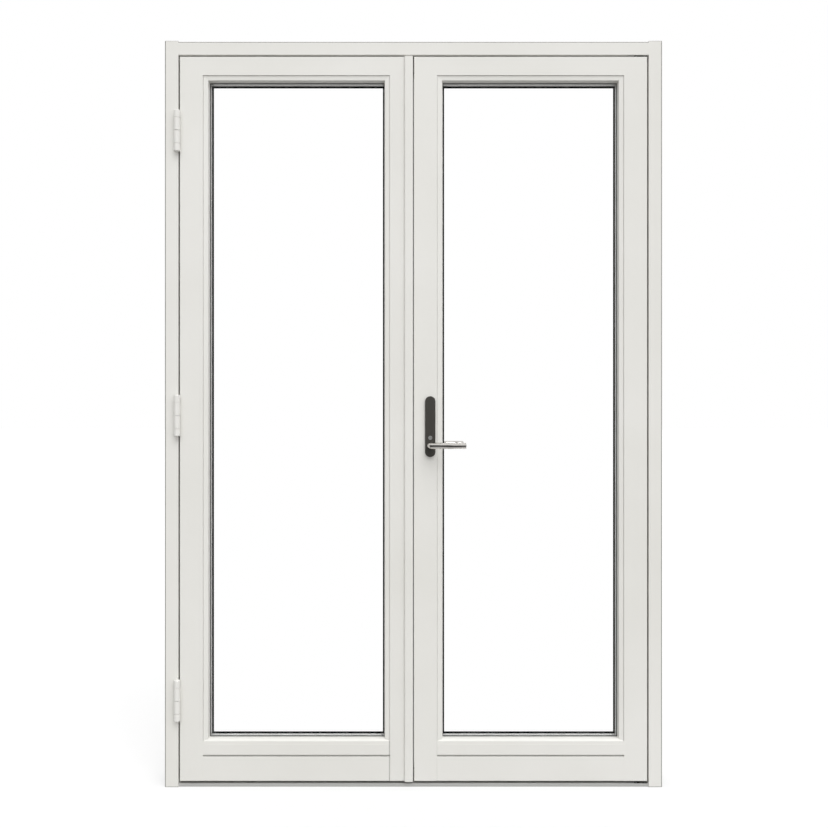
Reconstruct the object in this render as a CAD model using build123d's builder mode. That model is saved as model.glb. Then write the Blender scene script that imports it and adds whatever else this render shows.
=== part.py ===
from build123d import *
import os

# A pair of glazed timber french doors in their frame, both leaves opening to the front.
# X runs along the wall to the right, Y runs from the front face to the back, Z runs up.
# The origin is the middle of the sill's underside. All sizes are in millimetres.

os.makedirs("parts", exist_ok=True)

# Frame
frame_width = 1400.0
frame_height = 2100.0
frame_depth = 105.0
jamb_face = 38.0
head_face = 39.5
head_drop = 2.0
arris = 1.2
frame_arris = 3.0
fine_arris = 0.8
overrun = 5.0

# Gaps round the leaves, and how far the stops lap behind them
side_gap = 4.5
top_gap = 5.0
meeting_gap = 3.4
back_gap = 5.0
leaf_bottom = 17.0
stop_lap = 24.0
sill_lap = 16.0
meeting_splay = 2.4

# Sill and threshold
nose_setback = 3.0
nose_height = 9.0
ramp_height = 12.0
plate_wall = 2.0

# Stiles and rails
stile_face = 65.0
top_rail_face = 52.0
bottom_rail_face = 104.0
lip_thickness = 20.0
lip_setback = 1.0
lip_splay = 10.0
groove_height = 72.0
groove_width = 3.0
groove_depth = 5.0
groove_round = 3.0
board_setback = 0.5
joint_chamfer = 1.2

# Glazing
bead_width = 16.0
bead_flat = 14.0
bead_step = 2.5
bead_tilt = 1.0
bead_depth = 20.0
bead_round = 2.0
quirk_width = 0.6
quirk_depth = 5.0
sill_bead_front = 8.0
sill_bead_setback = 0.6
sill_bead_slope_depth = 6.0
sill_bead_slope_rise = 6.0
sill_bead_rise = 7.0
gasket_thickness = 2.0
gasket_width = 7.5
pane_thickness = 4.0
cavity = 16.0
glass_clearance = 4.0
spacer_width = 7.0
front_sight = 1.5
spacer_sight = 1.0
back_sight = 5.0
block_length = 80.0

# Seals
seal_width = 5.0
seal_root = 5.0
seal_clearance = 0.3
seal_inset = 20.0
sill_seal_inset = 9.0
seal_tip_share = 0.48
meeting_seal_reach = 2.8
meeting_seal_depth = 18.0

# Barrel hinges of the left leaf
hinge_low_inset = 229.5
hinge_high_inset = 211.0
hinge_shares = [0, 0.5, 1]
hinge_overhang = 1.0
hinge_front = 10.0
barrel_radius = 9.0
barrel_chamfer = 0.5
knuckle_length = 36.0
knuckle_split = 1.0
cap_length = 22.0
cap_round = 2.5
cap_seam = 1.0
cap_neck_radius = 7.0
hinge_pin_radius = 5.0
pin_fit = 0.02
pin_running = 0.06
hinge_plate_wall = 2.0
hinge_plate_reach = 45.0
hinge_plate_recess = 0.5

# Pivots of the right leaf
pivot_inset = 16.5
pivot_depth = 10.0
pivot_radius = 5.0
pivot_reach = 14.0
pivot_collar_radius = 5.9
pivot_thrust_gap = 0.2
pivot_plate_length = 36.0
pivot_plate_width = 12.0
pivot_plate_wall = 3.0
strap_length = 53.0
strap_width = 14.0
strap_wall = 4.0
strap_edge = 4.0

# Fixing sleeves in the jambs
fixing_low = 140.0
fixing_inner = 620.0
fixing_depth = 40.0
sleeve_radius = 9.0
sleeve_bore = 4.5

# Bolts, faceplates and keeps
bolt_line = 12.0
bolt_depth = 44.0
bolt_radius = 4.5
bolt_clearance = 0.5
bolt_tip_round = 1.5
bolt_retreat = 1.0
bolt_throw = 16.0
faceplate_width = 20.0
faceplate_wall = 3.0
faceplate_sink = 0.35
faceplate_end = 10.0
rod_part = 30.0
keep_length = 60.0
keep_width = 24.0
keep_wall = 2.5
sill_keep_wall = 5.0
keep_bore = 5.5
keep_hole = 6.0
keep_hole_depth = 16.0
flush_case_length = 190.0
flush_rod_length = 170.0
thumb_height = 12.0
thumb_width = 6.0
thumb_clearance = 0.5

# Lock and centre bolt
case_back = 58.0
case_wall_gap = 1.0
case_thickness = 16.0
case_height = 160.0
centre_bolt_width = 8.0
centre_bolt_height = 20.0
centre_bolt_length = 34.0
centre_bolt_clearance = 0.3
strike_height = 80.0
strike_wall = 2.0
strike_pocket = 12.0

# Handle
handle_line = 47.0
handle_height = 962.0
plate_length = 171.0
plate_width = 29.0
plate_depth = 8.0
plate_bevel = 2.0
plate_above = 138.0
neck_clearance = 0.08
neck_seat = 6.0
lever_radius = 8.7
lever_stand = 40.0
lever_bend = 15.0
lever_length = 99.0
lever_round = 1.5
spindle_side = 8.0
spindle_seat = 14.0
case_follower = 6.0
spindle_hole = 7.0
quarter_turn = 90

# Cover strip on the left leaf
strip_width = 23.5
strip_depth = 7.0
strip_round = 2.8

# Places that follow from the sizes above
left = -1
right = 1
front = -frame_depth / 2
half_width = frame_width / 2
jamb_edge = half_width - jamb_face
leaf_edge = jamb_edge - side_gap
leaf_inner = meeting_gap / 2
stop_edge = leaf_edge - stop_lap
head_under = frame_height - head_face
head_top = frame_height - head_drop
leaf_top = head_under - top_gap
leaf_height = leaf_top - leaf_bottom
leaf_middle = (leaf_top + leaf_bottom) / 2
pane_front = bead_depth + gasket_thickness
cavity_front = pane_front + pane_thickness
cavity_back = cavity_front + cavity
pane_back = cavity_back + pane_thickness
lip_front = pane_back + gasket_thickness
leaf_depth = lip_front + lip_thickness
stop_depth = leaf_depth + back_gap
lip_reach = bead_width + back_sight - lip_setback
sill_stop = leaf_bottom + sill_lap
head_stop = leaf_top - stop_lap
seal_reach = back_gap - seal_clearance
seal_line = leaf_edge - seal_inset
rebate_inner = leaf_inner + stile_face
rebate_outer = leaf_edge - stile_face
rebate_low = leaf_bottom + bottom_rail_face
rebate_high = leaf_top - top_rail_face
rebate_middle = (rebate_inner + rebate_outer) / 2
hinge_low = leaf_bottom + hinge_low_inset
hinge_high = leaf_top - hinge_high_inset
hinge_heights = [hinge_low + (hinge_high - hinge_low) * share for share in hinge_shares]
hinge_x = -jamb_edge - hinge_overhang
hinge_y = front - hinge_front
pivot_x = leaf_edge - pivot_inset
heel_depth = leaf_depth - pivot_depth
heel_swing = Vector(pivot_inset, heel_depth).length - heel_depth
fixing_heights = [
    fixing_low,
    fixing_low + fixing_inner,
    frame_height - fixing_low - fixing_inner,
    frame_height - fixing_low,
]
edge_at_bolt = leaf_inner + meeting_splay * bolt_depth / leaf_depth
plate_face = edge_at_bolt + faceplate_sink
plate_rear = plate_face + faceplate_wall
channel_end = bolt_line + bolt_radius + bolt_clearance
channel_width = (bolt_radius + bolt_clearance) * 2
keep_floor = leaf_bottom - top_gap
case_front = channel_end + case_wall_gap
bolt_low_tip = leaf_bottom + bolt_retreat
bolt_high_tip = leaf_top - bolt_retreat
plate_centre = handle_height + plate_above - plate_length / 2
lever_axis = plate_depth + lever_stand


def ramp(depth):
    # Height of the threshold's top at a depth behind the frame's face
    share = (depth - nose_setback) / (stop_depth - nose_setback)
    return nose_height + (ramp_height - nose_height) * share


def keep(piece, name):
    piece.part.label = name
    export_step(piece.part, f"parts/{name}.step")


def block(x_span, depth_span, z_span, mode=Mode.ADD):
    # A square-edged block or pocket between two values along each axis
    middle = (
        (x_span[0] + x_span[1]) / 2,
        front + (depth_span[0] + depth_span[1]) / 2,
        (z_span[0] + z_span[1]) / 2,
    )
    with Locations(middle):
        Box(
            abs(x_span[1] - x_span[0]),
            abs(depth_span[1] - depth_span[0]),
            abs(z_span[1] - z_span[0]),
            mode=mode,
        )


def upright(x, depth, radius, z_span, mode=Mode.ADD):
    # A round bar or hole along Z
    with BuildSketch(Plane.XY.offset(z_span[0])) as section:
        with Locations((x, front + depth)):
            Circle(radius)
    extrude(section.sketch, amount=z_span[1] - z_span[0], mode=mode)


def around(depth, width):
    return (depth - width / 2, depth + width / 2)


def seal_strip(plane, reach, length):
    # A finger of rubber with a rounded tip, its root in the groove
    with BuildSketch(plane) as section:
        Rectangle(seal_width, seal_root + reach, align=(Align.CENTER, Align.MIN))
        fillet(section.vertices().group_by(Axis.Y)[-1], radius=seal_width * seal_tip_share)
    extrude(section.sketch, amount=length)


def hinge_span(centre, upper):
    if upper:
        return (centre + knuckle_split / 2, centre + knuckle_length)
    return (centre - knuckle_length, centre - knuckle_split / 2)


frame_plate_x = (-jamb_edge - hinge_plate_recess, -jamb_edge - hinge_plate_recess + hinge_plate_wall)
leaf_plate_x = (-leaf_edge + hinge_plate_recess - hinge_plate_wall, -leaf_edge + hinge_plate_recess)


# Frame: jambs, plain boards with their front outer arris rounded more
def jamb_blank(side):
    block((side * half_width, side * jamb_edge), (0, frame_depth), (0, frame_height))
    uprights = edges().filter_by(Axis.Z)
    outer = [edge for edge in uprights if abs(edge.center().X) > jamb_edge + overrun]
    inner = [edge for edge in uprights if abs(edge.center().X) < jamb_edge + overrun]
    fillet(ShapeList(outer).sort_by(Axis.Y)[0], radius=frame_arris)
    fillet(ShapeList(outer).sort_by(Axis.Y)[-1], radius=arris)
    fillet(ShapeList(inner).sort_by(Axis.Y)[0], radius=arris)
    # The inner arris stops square under the head, which butts flush against it
    block((side * jamb_edge, side * (jamb_edge + arris)), (0, arris), (head_under, frame_height))
    for height in fixing_heights:
        with Locations(Plane((side * half_width, front + fixing_depth, height), z_dir=(side, 0, 0))):
            Hole(sleeve_radius)


with BuildPart() as left_jamb:
    jamb_blank(left)
    for centre in hinge_heights:
        block(
            (frame_plate_x[0], -jamb_edge + overrun),
            (-overrun, hinge_plate_reach),
            hinge_span(centre, False),
            Mode.SUBTRACT,
        )
keep(left_jamb, "left_jamb")

with BuildPart() as right_jamb:
    jamb_blank(right)
keep(right_jamb, "right_jamb")

with BuildPart() as fixing_sleeves:
    for side in (left, right):
        for height in fixing_heights:
            with BuildSketch(Plane((side * jamb_edge, front + fixing_depth, height), z_dir=(side, 0, 0))):
                Circle(sleeve_radius)
                Circle(sleeve_bore, mode=Mode.SUBTRACT)
            extrude(amount=jamb_face)
keep(fixing_sleeves, "fixing_sleeves")

# Frame: head, butted between the jambs
with BuildPart() as head:
    block((-jamb_edge, jamb_edge), (0, frame_depth), (head_under, head_top))
    levels = edges().filter_by(Axis.X).sort_by(Axis.Y)
    fillet(levels[0:2].sort_by(Axis.Z)[0], radius=arris)
    fillet(levels[0:2].sort_by(Axis.Z)[-1], radius=frame_arris)
    fillet(levels[2:4].sort_by(Axis.Z)[-1], radius=arris)
    block(
        around(0, keep_length),
        around(bolt_depth, keep_width),
        (head_under, head_under + keep_wall),
        Mode.SUBTRACT,
    )
    hole_span = (head_under, head_under + keep_hole_depth)
    for side in (left, right):
        upright(side * bolt_line, bolt_depth, keep_hole, hole_span, Mode.SUBTRACT)
    block(
        around(pivot_x, pivot_plate_length),
        around(pivot_depth, pivot_plate_width),
        (head_under, head_under + pivot_plate_wall),
        Mode.SUBTRACT,
    )
keep(head, "head")

# Frame: stops planted on the jambs and under the head, grooved for the seals
with BuildPart() as side_stops:
    for side in (left, right):
        block((side * stop_edge, side * jamb_edge), (stop_depth, frame_depth), (0, head_under))
    rear_arrises = edges().filter_by(Axis.Z).group_by(Axis.Y)[-1].sort_by(Axis.X)
    fillet(rear_arrises[1:3], radius=arris)
    for side in (left, right):
        block(
            around(side * seal_line, seal_width),
            (stop_depth, stop_depth + seal_root),
            (leaf_bottom, leaf_top),
            Mode.SUBTRACT,
        )
keep(side_stops, "side_stops")

with BuildPart() as top_stop:
    block((-stop_edge, stop_edge), (stop_depth, frame_depth), (head_stop, head_under))
    fillet(edges().filter_by(Axis.X).group_by(Axis.Z)[0].sort_by(Axis.Y)[-1], radius=arris)
    block(
        (-stop_edge, stop_edge),
        (stop_depth, stop_depth + seal_root),
        around(leaf_top - seal_inset, seal_width),
        Mode.SUBTRACT,
    )
keep(top_stop, "top_stop")

# Frame: timber sill base with the aluminium threshold plate on its front
plate_inside = nose_setback + plate_wall
with BuildPart() as sill_base:
    with BuildSketch(Plane.YZ.offset(-jamb_edge)):
        with BuildLine():
            Polyline(
                (front + plate_inside, 0),
                (front + plate_inside, ramp(plate_inside) - plate_wall),
                (front + stop_depth, ramp_height - plate_wall),
                (front + stop_depth, 0),
                close=True,
            )
        make_face()
    extrude(amount=jamb_edge * 2)
    block((-stop_edge, stop_edge), (stop_depth, frame_depth), (0, sill_stop))
    fillet(edges().filter_by(Axis.X).group_by(Axis.Z)[-1].sort_by(Axis.Y)[-1], radius=arris)
    block(
        (-stop_edge, stop_edge),
        (stop_depth, stop_depth + seal_root),
        around(leaf_bottom + sill_seal_inset, seal_width),
        Mode.SUBTRACT,
    )
    block(
        around(0, keep_length),
        around(bolt_depth, keep_width),
        (keep_floor - sill_keep_wall, leaf_bottom),
        Mode.SUBTRACT,
    )
    for side in (left, right):
        upright(side * bolt_line, bolt_depth, keep_hole, (0, leaf_bottom), Mode.SUBTRACT)
    block(
        around(pivot_x, pivot_plate_length),
        around(pivot_depth, pivot_plate_width),
        (nose_height - pivot_plate_wall, leaf_bottom),
        Mode.SUBTRACT,
    )
keep(sill_base, "sill_base")

with BuildPart() as threshold_plate:
    with BuildSketch(Plane.YZ.offset(-jamb_edge)) as plate_section:
        with BuildLine():
            Polyline(
                (front + nose_setback, 0),
                (front + nose_setback, nose_height),
                (front + stop_depth, ramp_height),
                (front + stop_depth, ramp_height - plate_wall),
                (front + plate_inside, ramp(plate_inside) - plate_wall),
                (front + plate_inside, 0),
                close=True,
            )
        make_face()
        nose = plate_section.vertices().sort_by_distance((front + nose_setback, nose_height))[0]
        fillet(nose, radius=plate_wall)
    extrude(amount=jamb_edge * 2)
    block(
        around(0, keep_length),
        around(bolt_depth, keep_width),
        (0, leaf_bottom),
        Mode.SUBTRACT,
    )
    block(
        around(pivot_x, pivot_plate_length),
        around(pivot_depth, pivot_plate_width),
        (nose_height - pivot_plate_wall, leaf_bottom),
        Mode.SUBTRACT,
    )
keep(threshold_plate, "threshold_plate")

# Frame: seals in the stops
groove_floor = front + stop_depth + seal_root
# The right leaf's heel swings back a little as it opens, so the seals keep out of its way
seal_reaches = {left: seal_reach, right: seal_reach - heel_swing}
level_seal_end = pivot_x - pivot_inset
with BuildPart() as frame_seals:
    for side, reach in seal_reaches.items():
        upright_seal = Plane((side * seal_line, groove_floor, leaf_bottom), x_dir=(-1, 0, 0), z_dir=(0, 0, 1))
        seal_strip(upright_seal, reach, leaf_height)
    for height in (leaf_bottom + sill_seal_inset, leaf_top - seal_inset):
        level_seal = Plane((-stop_edge, groove_floor, height), x_dir=(0, 0, 1), z_dir=(1, 0, 0))
        seal_strip(level_seal, seal_reach, stop_edge + level_seal_end)
keep(frame_seals, "frame_seals")

# Frame: keeps that take both leaves' bolts
with BuildPart() as head_keep:
    block(around(0, keep_length), around(bolt_depth, keep_width), (head_under, head_under + keep_wall))
    for side in (left, right):
        upright(side * bolt_line, bolt_depth, keep_bore, (head_under, head_under + keep_wall), Mode.SUBTRACT)
keep(head_keep, "head_keep")

with BuildPart() as threshold_keep:
    sill_keep_span = (keep_floor - sill_keep_wall, keep_floor)
    block(around(0, keep_length), around(bolt_depth, keep_width), sill_keep_span)
    for side in (left, right):
        upright(side * bolt_line, bolt_depth, keep_bore, sill_keep_span, Mode.SUBTRACT)
keep(threshold_keep, "threshold_keep")

# Frame: pivots of the right leaf
pivot_plate = (around(pivot_x, pivot_plate_length), around(pivot_depth, pivot_plate_width))
with BuildPart() as leaf_pivots:
    block(*pivot_plate, (head_under, head_under + pivot_plate_wall))
    upright(pivot_x, pivot_depth, pivot_radius, (leaf_top - pivot_reach, head_under))
    block(*pivot_plate, (nose_height - pivot_plate_wall, nose_height))
    collar_top = leaf_bottom - pivot_thrust_gap
    upright(pivot_x, pivot_depth, pivot_collar_radius, (nose_height, collar_top))
    upright(pivot_x, pivot_depth, pivot_radius, (collar_top, leaf_bottom + pivot_reach))
    middle = (pivot_x, front + pivot_depth, leaf_middle)
    pin_rims = edges().filter_by(GeomType.CIRCLE).sort_by_distance(middle)
    chamfer(pin_rims[0:2], length=fine_arris)
keep(leaf_pivots, "leaf_pivots")


# Barrel hinges: a base on the jamb and a sleeve on the leaf turn on one pin
def hinge_half(centre, upper, plate_span, bore):
    low, high = hinge_span(centre, upper)
    upright(hinge_x, -hinge_front, barrel_radius, (low, high))
    chamfer(edges().filter_by(GeomType.CIRCLE), length=barrel_chamfer)
    block(plate_span, (-hinge_front, hinge_plate_reach), (low + barrel_chamfer, high - barrel_chamfer))
    upright(hinge_x, -hinge_front, bore, (low, high), Mode.SUBTRACT)


hinge_names = ["lower", "middle", "upper"]
for name, centre in zip(hinge_names, hinge_heights):
    with BuildPart() as hinge_base:
        hinge_half(centre, False, frame_plate_x, hinge_pin_radius + pin_fit)
    keep(hinge_base, f"{name}_hinge_base")
    with BuildPart() as hinge_sleeve:
        hinge_half(centre, True, leaf_plate_x, hinge_pin_radius + pin_running)
    keep(hinge_sleeve, f"{name}_hinge_sleeve")

with BuildPart() as hinge_pins:
    for centre in hinge_heights:
        pin_top = centre + knuckle_length - knuckle_split
        upright(hinge_x, -hinge_front, hinge_pin_radius, (centre - knuckle_length, pin_top))
keep(hinge_pins, "hinge_pins")


def hinge_cap(joint, outward):
    # A turned finial: a neck that leaves a fine seam, then a short barrel with a rounded rim
    with BuildSketch(Plane((hinge_x, hinge_y, joint), z_dir=(0, 0, outward))) as neck:
        Circle(cap_neck_radius)
    extrude(neck.sketch, amount=cap_seam)
    with BuildSketch(Plane((hinge_x, hinge_y, joint + outward * cap_seam), z_dir=(0, 0, outward))) as body:
        Circle(barrel_radius)
    extrude(body.sketch, amount=cap_length - cap_seam)


with BuildPart() as hinge_base_caps:
    for centre in hinge_heights:
        hinge_cap(centre - knuckle_length, -1)
    for cap in solids():
        fillet(cap.edges().filter_by(GeomType.CIRCLE).sort_by(Axis.Z)[0], radius=cap_round)
keep(hinge_base_caps, "hinge_base_caps")

with BuildPart() as hinge_sleeve_caps:
    for centre in hinge_heights:
        hinge_cap(centre + knuckle_length, 1)
    for cap in solids():
        fillet(cap.edges().filter_by(GeomType.CIRCLE).sort_by(Axis.Z)[-1], radius=cap_round)
keep(hinge_sleeve_caps, "hinge_sleeve_caps")


# Leaves: stiles run the full height, with a rebate for the glass and a splayed lip behind it
def stile_blank(side, edge, inward, splay):
    def place(reach, depth):
        return (side * (edge + inward * reach), front + depth)

    with BuildSketch(Plane.XY.offset(leaf_bottom)) as section:
        with BuildLine():
            Polyline(
                place(0, 0),
                place(stile_face, 0),
                place(stile_face, lip_front),
                place(stile_face + lip_reach, lip_front),
                place(stile_face + lip_reach - lip_splay, leaf_depth),
                place(splay, leaf_depth),
                close=True,
            )
        make_face()
    extrude(section.sketch, amount=leaf_height)
    uprights = edges().filter_by(Axis.Z)
    outer = uprights.sort_by_distance((*place(0, 0), leaf_middle))[0]
    rear = uprights.sort_by_distance((*place(splay, leaf_depth), leaf_middle))[0]
    ends = edges().filter_by(Axis.X).group_by(Axis.Y)[0]
    fillet([outer, rear, *ends], radius=arris)


def hinge_stile_blank(side):
    stile_blank(side, leaf_edge, -1, 0)


def meeting_stile_blank(side):
    stile_blank(side, leaf_inner, 1, meeting_splay)
    # A fine chamfer marks the joint with the bottom rail
    with BuildSketch(Plane.XY.offset(leaf_bottom)) as section:
        with BuildLine():
            Polyline(
                (side * rebate_inner, front),
                (side * rebate_inner, front + joint_chamfer),
                (side * (rebate_inner - joint_chamfer), front),
                close=True,
            )
        make_face()
    extrude(section.sketch, amount=bottom_rail_face + sill_bead_front, mode=Mode.SUBTRACT)


def bolt_end_holes(side):
    # The bolts leave the stile through a hole at each end
    end_radius = bolt_radius + bolt_clearance
    low_end = (leaf_bottom, leaf_bottom + faceplate_end)
    high_end = (leaf_top - faceplate_end, leaf_top)
    for z_span in (low_end, high_end):
        upright(side * bolt_line, bolt_depth, end_radius, z_span, Mode.SUBTRACT)


def bolt_channel(side, z_span):
    # A groove in the meeting edge: wide for the faceplate, narrow behind it for the bolt
    block((0, side * plate_rear), around(bolt_depth, faceplate_width), z_span, Mode.SUBTRACT)
    block((0, side * channel_end), around(bolt_depth, channel_width), z_span, Mode.SUBTRACT)


with BuildPart() as left_hinge_stile:
    hinge_stile_blank(left)
    for centre in hinge_heights:
        block(
            (-leaf_edge - overrun, leaf_plate_x[1]),
            (-overrun, hinge_plate_reach),
            hinge_span(centre, True),
            Mode.SUBTRACT,
        )
keep(left_hinge_stile, "left_hinge_stile")

flush_low = (leaf_bottom + faceplate_end, leaf_bottom + faceplate_end + flush_case_length)
flush_high = (leaf_top - faceplate_end - flush_case_length, leaf_top - faceplate_end)
strike_span = around(handle_height, strike_height)
bolt_hole_width = centre_bolt_width + centre_bolt_clearance * 2
bolt_hole_height = centre_bolt_height + centre_bolt_clearance * 2
with BuildPart() as left_meeting_stile:
    meeting_stile_blank(left)
    bolt_end_holes(left)
    bolt_channel(left, flush_low)
    bolt_channel(left, flush_high)
    strike_x = (0, left * (plate_face + strike_wall))
    block(strike_x, around(bolt_depth, faceplate_width), strike_span, Mode.SUBTRACT)
    block(
        (0, left * (plate_face + strike_pocket)),
        around(bolt_depth, bolt_hole_width),
        around(handle_height, bolt_hole_height),
        Mode.SUBTRACT,
    )
    block(
        (0, left * (leaf_inner + seal_root)),
        around(meeting_seal_depth, seal_width),
        (leaf_bottom, leaf_top),
        Mode.SUBTRACT,
    )
keep(left_meeting_stile, "left_meeting_stile")

right_edge_plate = (leaf_bottom + faceplate_end, leaf_top - faceplate_end)
with BuildPart() as right_meeting_stile:
    meeting_stile_blank(right)
    bolt_end_holes(right)
    bolt_channel(right, right_edge_plate)
    block(
        (0, case_back),
        around(bolt_depth, case_thickness),
        around(handle_height, case_height),
        Mode.SUBTRACT,
    )
    with Locations(Plane((handle_line, front, handle_height), z_dir=(0, -1, 0))):
        Hole(spindle_hole)
keep(right_meeting_stile, "right_meeting_stile")

strap_span = (leaf_edge - strap_edge - strap_length, leaf_edge - strap_edge)
strap_low = (leaf_bottom, leaf_bottom + strap_wall)
strap_high = (leaf_top - strap_wall, leaf_top)
pivot_hole = pivot_radius + bolt_clearance
with BuildPart() as right_hinge_stile:
    hinge_stile_blank(right)
    for z_span in (strap_low, strap_high):
        block(strap_span, around(pivot_depth, strap_width), z_span, Mode.SUBTRACT)
    hole_low = (leaf_bottom, leaf_bottom + pivot_reach + fine_arris)
    hole_high = (leaf_top - pivot_reach - fine_arris, leaf_top)
    for z_span in (hole_low, hole_high):
        upright(pivot_x, pivot_depth, pivot_hole, z_span, Mode.SUBTRACT)
keep(right_hinge_stile, "right_hinge_stile")

with BuildPart() as pivot_straps:
    for z_span in (strap_low, strap_high):
        block(strap_span, around(pivot_depth, strap_width), z_span)
        upright(pivot_x, pivot_depth, pivot_radius + pin_running, z_span, Mode.SUBTRACT)
keep(pivot_straps, "pivot_straps")


# Leaves: rails fit between the stiles and are scribed over the stiles' lips
def top_rail_section():
    return [
        (front, leaf_top),
        (front, rebate_high),
        (front + lip_front, rebate_high),
        (front + lip_front, rebate_high - lip_reach),
        (front + leaf_depth, rebate_high - lip_reach + lip_splay),
        (front + leaf_depth, leaf_top),
    ]


def bottom_rail_section():
    groove_high = leaf_bottom + groove_height
    groove_low = groove_high - groove_width
    return [
        (front, rebate_low),
        (front, groove_high),
        (front + groove_depth, groove_high),
        (front + groove_depth, groove_low),
        (front + board_setback, groove_low),
        (front + board_setback, leaf_bottom),
        (front + leaf_depth, leaf_bottom),
        (front + leaf_depth, rebate_low + lip_reach - lip_splay),
        (front + lip_front, rebate_low + lip_reach),
        (front + lip_front, rebate_low),
    ]


def rail(side, points, rounded, stiles):
    start = min(side * rebate_inner, side * rebate_outer)
    with BuildSketch(Plane.YZ.offset(start)) as section:
        with BuildLine():
            Polyline(*points, close=True)
        make_face()
        for corner, radius in rounded:
            fillet(section.vertices().sort_by_distance(corner)[0], radius=radius)
    extrude(section.sketch, amount=rebate_outer - rebate_inner)
    for stile in stiles:
        add(stile.part, mode=Mode.SUBTRACT)


leaf_stiles = {
    left: (left_hinge_stile, left_meeting_stile),
    right: (right_hinge_stile, right_meeting_stile),
}
leaf_names = {left: "left", right: "right"}
for side, name in leaf_names.items():
    with BuildPart() as top_rail:
        rail(side, top_rail_section(), [((front, leaf_top), arris)], leaf_stiles[side])
    keep(top_rail, f"{name}_top_rail")
    with BuildPart() as bottom_rail:
        soft_corners = [
            ((front, leaf_bottom + groove_height), groove_round),
            ((front + board_setback, leaf_bottom), arris),
        ]
        rail(side, bottom_rail_section(), soft_corners, leaf_stiles[side])
    keep(bottom_rail, f"{name}_bottom_rail")


# Glazing beads, mitred at the corners, with a narrow quirk beside the stile and the top rail
def bead_mitre(x, z, x_dir, z_dir):
    # Cuts away what lies beyond a plane through a corner of the rebate
    split(bisect_by=Plane((x, 0, z), z_dir=(x_dir, 0, z_dir)), keep=Keep.BOTTOM)


sill_mitre = sill_bead_rise / bead_width
sill_mitre_start = rebate_low + sill_bead_front
for side, name in leaf_names.items():
    walls = [(side * rebate_inner, side), (side * rebate_outer, -side)]
    bead_pieces = []
    for wall, inward in walls:
        with BuildPart() as bead:
            with BuildSketch(Plane.XY.offset(rebate_low)) as section:
                with BuildLine():
                    Polyline(
                        (wall + inward * quirk_width, front + bead_step),
                        (wall + inward * bead_flat, front + bead_step + bead_tilt),
                        (wall + inward * bead_width, front + bead_depth),
                        (wall, front + bead_depth),
                        (wall, front + bead_step + quirk_depth),
                        (wall + inward * quirk_width, front + bead_step + quirk_depth),
                        close=True,
                    )
                make_face()
                nose = (wall + inward * bead_flat, front + bead_step + bead_tilt)
                fillet(section.vertices().sort_by_distance(nose)[0], radius=bead_round)
            extrude(amount=rebate_high - rebate_low)
            bead_mitre(wall, rebate_high, inward, 1)
            bead_mitre(wall, sill_mitre_start, inward * sill_mitre, -1)
        bead_pieces.append(bead)
    with BuildPart() as side_beads:
        for bead in bead_pieces:
            add(bead.part)
    keep(side_beads, f"{name}_side_beads")

    start = min(side * rebate_inner, side * rebate_outer)
    with BuildPart() as top_bead:
        with BuildSketch(Plane.YZ.offset(start)) as section:
            with BuildLine():
                Polyline(
                    (front + bead_step, rebate_high - quirk_width),
                    (front + bead_step + bead_tilt, rebate_high - bead_flat),
                    (front + bead_depth, rebate_high - bead_width),
                    (front + bead_depth, rebate_high),
                    (front + bead_step + quirk_depth, rebate_high),
                    (front + bead_step + quirk_depth, rebate_high - quirk_width),
                    close=True,
                )
            make_face()
            nose = (front + bead_step + bead_tilt, rebate_high - bead_flat)
            fillet(section.vertices().sort_by_distance(nose)[0], radius=bead_round)
        extrude(amount=rebate_outer - rebate_inner)
        for wall, inward in walls:
            bead_mitre(wall, rebate_high, -inward, -1)
    keep(top_bead, f"{name}_top_bead")

    with BuildPart() as bottom_bead:
        with BuildSketch(Plane.YZ.offset(start)) as section:
            slope_start = (front + sill_bead_setback, sill_mitre_start)
            slope_end = (front + sill_bead_slope_depth, sill_mitre_start + sill_bead_slope_rise)
            with BuildLine():
                Polyline(
                    (front + sill_bead_setback, rebate_low),
                    slope_start,
                    slope_end,
                    (front + bead_depth, sill_mitre_start + sill_bead_rise),
                    (front + bead_depth, rebate_low),
                    close=True,
                )
            make_face()
            for corner in (slope_start, slope_end):
                fillet(section.vertices().sort_by_distance(corner)[0], radius=fine_arris)
        extrude(amount=rebate_outer - rebate_inner)
        for wall, inward in walls:
            bead_mitre(wall, sill_mitre_start, -inward * sill_mitre, 1)
    keep(bottom_bead, f"{name}_bottom_bead")


# Glazing: two panes on blocks, a spacer between them and a gasket on each face
sill_inset = sill_bead_front + sill_bead_rise - bead_width


def pane_outline(side, inset, mode=Mode.ADD):
    # A rectangle set in from the rebate, its lower edge lower by what the sill bead saves
    width = rebate_outer - rebate_inner - inset * 2
    low = rebate_low + inset + sill_inset
    high = rebate_high - inset
    with Locations((side * rebate_middle, (low + high) / 2)):
        Rectangle(width, high - low, mode=mode)


def glazing_ring(side, outer, inner, rear, thickness):
    with BuildSketch(Plane.XZ.offset(-front - rear)) as section:
        pane_outline(side, outer)
        pane_outline(side, inner, Mode.SUBTRACT)
    extrude(section.sketch, amount=thickness)


def pane(side, rear):
    with BuildSketch(Plane.XZ.offset(-front - rear)) as section:
        pane_outline(side, glass_clearance)
    extrude(section.sketch, amount=pane_thickness)


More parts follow.
